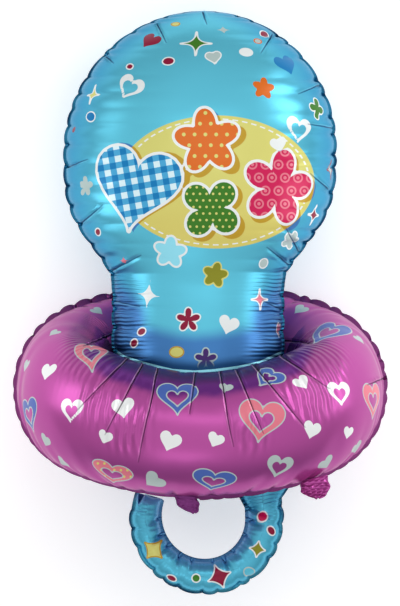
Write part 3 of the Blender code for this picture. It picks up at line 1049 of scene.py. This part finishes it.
def foil_bump(nodes, place):
    """Fine parallel wrinkles across the seams, and the faint unevenness of thin film."""
    phase = nodes.times(nodes.attribute("wrinkle_phase"), 2 * math.pi / WRINKLE_PITCH)
    jitter = nodes.times(nodes.noise(place, 24.0, 1.0), 6.0)
    wave = nodes.math("SINE", nodes.math("ADD", phase, jitter))
    height = nodes.times(nodes.times(wave, nodes.attribute("wrinkle_amount")), 1.6)
    film = nodes.times(nodes.noise(place, 22.0, 1.0), 0.8)
    bump = nodes.tree.nodes.new("ShaderNodeBump")
    bump.inputs["Distance"].default_value = 0.0007
    nodes.link(nodes.math("ADD", height, film), bump.inputs["Height"])
    nodes.link(bump.outputs["Normal"], nodes.shader.inputs["Normal"])


def finish_foil(nodes, colour, ink, place, metallic, glance):
    """Bare foil shines as metal, and thick ink on it less so. What it mirrors at a flat angle is tinted."""
    inputs = nodes.shader.inputs
    inputs["Specular Tint"].default_value = glance + (1.0,)
    nodes.link(colour, inputs["Base Color"])
    nodes.link(nodes.step(ink, 0.0, 1.0, *metallic), inputs["Metallic"])
    nodes.link(nodes.step(nodes.noise(place, 9.0), 0.2, 0.8, *ROUGHNESS), inputs["Roughness"])
    inputs["Coat Weight"].default_value = 0.08
    inputs["Coat Roughness"].default_value = 0.18
    inputs["Specular IOR Level"].default_value = 0.35
    foil_bump(nodes, place)
    return nodes.material


def crease_shade_and_highlight(nodes, place, colour, dark, light):
    """Painted shade as a dark line in each long crease, and a painted highlight along its lower side."""
    wander = nodes.math("MULTIPLY_ADD", nodes.noise(place, 16.0), 0.005, -0.0025)
    off = nodes.math("ADD", nodes.attribute("crease_off"), wander)
    strength = nodes.attribute("crease_strength")
    beside = nodes.math("ABSOLUTE", nodes.math("ADD", off, 2.3 * CREASE_LINE))
    crease_highlight = nodes.step(beside, 1.1 * CREASE_LINE, 0.3 * CREASE_LINE)
    colour = nodes.mix(nodes.times(nodes.times(crease_highlight, strength), 0.35), colour, light)
    line = nodes.step(nodes.math("ABSOLUTE", off), 1.5 * CREASE_LINE, 0.6 * CREASE_LINE)
    return nodes.mix(nodes.times(line, nodes.math("POWER", strength, 0.5)), colour, dark)


def teat_material():
    nodes = Nodes("printed_blue_foil")
    place, axes = nodes.place()
    hug = nodes.attribute("hug")
    # Painted shade: darker blue towards the welded rims, and deep blue beside the line where the ring hugs
    # the neck
    ground = nodes.mix(nodes.times(nodes.attribute("edge_shade"), 0.9), BLUE, EDGE_SHADE_BLUE)
    ground = nodes.mix(nodes.step(hug, *DEEP_BLUE_REACH), ground, BLUE_DEEP)
    # Painted shade on the inner side of the handle
    inner_shade = nodes.step(nodes.attribute("handle_inside"), 0.4, 0.8)
    ground = nodes.mix(inner_shade, ground, INNER_SHADE_BLUE)
    # Painted light: the handle's free end gets its own colour for the light it catches, and shines less as
    # metal
    end_light = nodes.attribute("handle_end")
    ground = nodes.mix(end_light, ground, END_LIGHT_BLUE)
    ground, patch = oval_patch(nodes, ground, axes)
    colour, ink = printed_colour(nodes, ground, axes)
    # Painted shade in navy next to the hug line, and a thin painted highlight along it
    colour = nodes.mix(nodes.step(hug, *NAVY_REACH), colour, SHADE_NAVY)
    lip_highlight = nodes.times(nodes.step(hug, *LIP_OUTSIDE), nodes.step(hug, *LIP_INSIDE))
    colour = nodes.mix(lip_highlight, colour, PALE_BLUE)
    # Painted shade in patches along the welded rims
    patchy = nodes.step(nodes.noise(place, 20.0, 1.0), 0.45, 0.65, 0.1, 0.85)
    dark = nodes.times(nodes.step(nodes.attribute("rim"), 1.1, 0.5), patchy)
    colour = crease_shade_and_highlight(nodes, place, nodes.mix(dark, colour, SHADE_NAVY), SHADE_NAVY, PALE_BLUE)
    dull = nodes.math("MAXIMUM", nodes.times(inner_shade, 0.8), end_light)
    dull = nodes.math("MAXIMUM", dull, nodes.math("MAXIMUM", ink, patch))
    return finish_foil(nodes, colour, dull, place, TEAT_METALLIC, BLUE_GLANCE)


def oval_patch(nodes, ground, axes):
    """The yellow oval on the front of the bulb, deeper below, with a stitched line inside its rim."""
    cx, cy = to_metres(*OVAL_MIDDLE)
    wide, high = OVAL_HALF_WIDTH * PIXEL, OVAL_HALF_HEIGHT * PIXEL
    x = nodes.math("DIVIDE", nodes.math("SUBTRACT", axes[0], cx), wide)
    y = nodes.math("DIVIDE", nodes.math("SUBTRACT", axes[1], cy), high)
    far = nodes.distance(x, y)
    front = nodes.step(axes[2], BULB_MIDDLE_Z + 0.02, BULB_MIDDLE_Z + 0.022)
    inside = nodes.times(nodes.step(far, 1.004, 0.996), front)
    warm = nodes.mix(nodes.step(y, 0.3, -1.0), YELLOW, OVAL_LOWER_YELLOW)
    turn = nodes.math("ARCTAN2", y, x)
    dash = nodes.step(repeat_gap(nodes, turn, 0.105), 0.033, 0.029)
    line = nodes.step(nodes.math("ABSOLUTE", nodes.math("SUBTRACT", far, 0.945)), 0.011, 0.008)
    stitched = nodes.mix(nodes.times(dash, line), warm, WHITE)
    shadow = nodes.times(nodes.step(nodes.attribute("print_shadow"), 0.0005, -0.0003), front)
    stitched = nodes.mix(shadow, stitched, OCHRE)
    outer = nodes.mix(shadow, ground, BLUE_DEEP)
    return nodes.mix(inside, outer, stitched), inside


def ring_material():
    nodes = Nodes("printed_purple_foil")
    place, axes = nodes.place()
    hug = nodes.attribute("hug")
    uneven = nodes.times(nodes.noise(place, 26.0), 12.0)
    # Painted shade towards the ring's inside, along its lower fold and beside its welded rim
    ground = nodes.mix(nodes.times(nodes.attribute("shade"), 0.8), PURPLE, SHADE_PURPLE)
    # Painted reflection of the blue neck in violet, and painted shade in deep purple, beside the hug line
    ground = nodes.mix(nodes.step(nodes.math("ADD", hug, uneven), *VIOLET_REACH), ground, NECK_REFLECTION_VIOLET)
    ground = nodes.mix(nodes.step(hug, *DARK_PURPLE_REACH), ground, SHADE_PURPLE)
    colour, ink = printed_colour(nodes, ground, axes)
    # Painted shade along the welded rim
    dark = nodes.times(nodes.step(nodes.attribute("rim"), 1.3, 0.5), 0.35)
    colour = crease_shade_and_highlight(nodes, place, nodes.mix(dark, colour, SHADE_PURPLE), CREASE_SHADE_BLACK, CREASE_HIGHLIGHT_PINK)
    dull = nodes.math("MAXIMUM", ink, nodes.step(hug, *DULL_REACH))
    return finish_foil(nodes, colour, dull, place, RING_METALLIC, PURPLE_GLANCE)


PHOTO_HEIGHT = 606
CAMERA_DISTANCE = 12.0
FLOOR_REACH = 6.0
HORIZON_GREY = (0.27, 0.27, 0.28, 1.0)
OVERHEAD_GREY = (0.84, 0.84, 0.84, 1.0)
LIGHT_TARGET = (0.0, 0.0, 0.15)

# Each light's name, place, size and power
LIGHTS = (
    ("left_softbox", (-1.15, 0.7, 0.7), (0.5, 0.5), 1.0),
    ("right_softbox", (1.05, 0.85, 0.65), (0.45, 0.5), 3.2),
    ("left_strip", (-0.62, 0.04, 0.42), (0.3, 0.3), 0.62),
    ("right_strip", (0.6, 0.04, 0.42), (0.3, 0.3), 0.7),
    ("top_softbox", (0.1, 0.9, 2.4), (1.6, 0.5), 3.6),
    ("low_softbox", (-0.2, -1.0, 1.5), (0.6, 0.3), 0.9),
)


def dress(name, mesh, material, node):
    mesh.materials.append(material)
    piece = bpy.data.objects.new(name, mesh)
    bpy.context.scene.collection.objects.link(piece)
    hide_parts(node)
    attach(piece, "root")
    return piece


def add_area(name, place, size, power):
    light = bpy.data.lights.new(name, "AREA")
    light.shape = "RECTANGLE"
    light.size, light.size_y = size
    light.energy = power
    lamp = bpy.data.objects.new(name, light)
    lamp.location = place
    gap = np.array(LIGHT_TARGET) - np.array(place)
    flat = math.hypot(gap[0], gap[1])
    lamp.rotation_euler = (math.atan2(flat, -gap[2]), 0.0, math.atan2(gap[1], gap[0]) - math.pi / 2)
    bpy.context.scene.collection.objects.link(lamp)


def add_stage():
    mesh = bpy.data.meshes.new("floor_mesh")
    corners = [(x * FLOOR_REACH, y * FLOOR_REACH, 0) for x, y in ((-1, -1), (1, -1), (1, 1), (-1, 1))]
    mesh.from_pydata(corners, [], [(0, 1, 2, 3)])
    material = bpy.data.materials.new("pale_floor")
    material.use_nodes = True
    inputs = material.node_tree.nodes["Principled BSDF"].inputs
    inputs["Base Color"].default_value = (0.96, 0.96, 0.96, 1.0)
    inputs["Roughness"].default_value = 0.9
    inputs["Emission Color"].default_value = (1.0, 1.0, 1.0, 1.0)
    inputs["Emission Strength"].default_value = 0.26
    mesh.materials.append(material)
    floor = bpy.data.objects.new("studio_floor", mesh)
    bpy.context.scene.collection.objects.link(floor)


def add_world():
    """Soft studio surroundings: bright overhead and dimmer towards the horizon."""
    world = bpy.data.worlds.new("studio")
    world.use_nodes = True
    tree = world.node_tree
    coordinates = tree.nodes.new("ShaderNodeTexCoord")
    split = tree.nodes.new("ShaderNodeSeparateXYZ")
    ramp = tree.nodes.new("ShaderNodeValToRGB")
    tree.links.new(coordinates.outputs["Generated"], split.inputs[0])
    tree.links.new(split.outputs[2], ramp.inputs[0])
    tree.links.new(ramp.outputs[0], tree.nodes["Background"].inputs["Color"])
    for element, colour in zip(ramp.color_ramp.elements, (HORIZON_GREY, OVERHEAD_GREY)):
        element.color = colour
    tree.nodes["Background"].inputs["Strength"].default_value = 1.15
    bpy.context.scene.world = world


def add_camera():
    data = bpy.data.cameras.new("camera")
    data.sensor_width = 36.0
    data.lens = data.sensor_width * CAMERA_DISTANCE / (PHOTO_HEIGHT * PIXEL)
    camera = bpy.data.objects.new("camera", data)
    camera.location = (0.0, -PIXEL, middle_z(0.0) + CAMERA_DISTANCE)
    bpy.context.scene.collection.objects.link(camera)
    bpy.context.scene.camera = camera


bpy.context.scene.view_settings.view_transform = "Standard"
add_camera()
add_stage()
add_world()
for light in LIGHTS:
    add_area(*light)
dress("teat_and_handle_foil", build_teat(), teat_material(), TEAT_NODE)
purple = ring_material()
dress("shield_ring_foil", build_ring(), purple, RING_NODE)
for tail, sizes in (("small_tail", TAIL_SMALL), ("large_tail", TAIL_LARGE)):
    dress(tail + "_foil", tail_mesh(tail + "_mesh", *sizes), purple, RING_NODE)
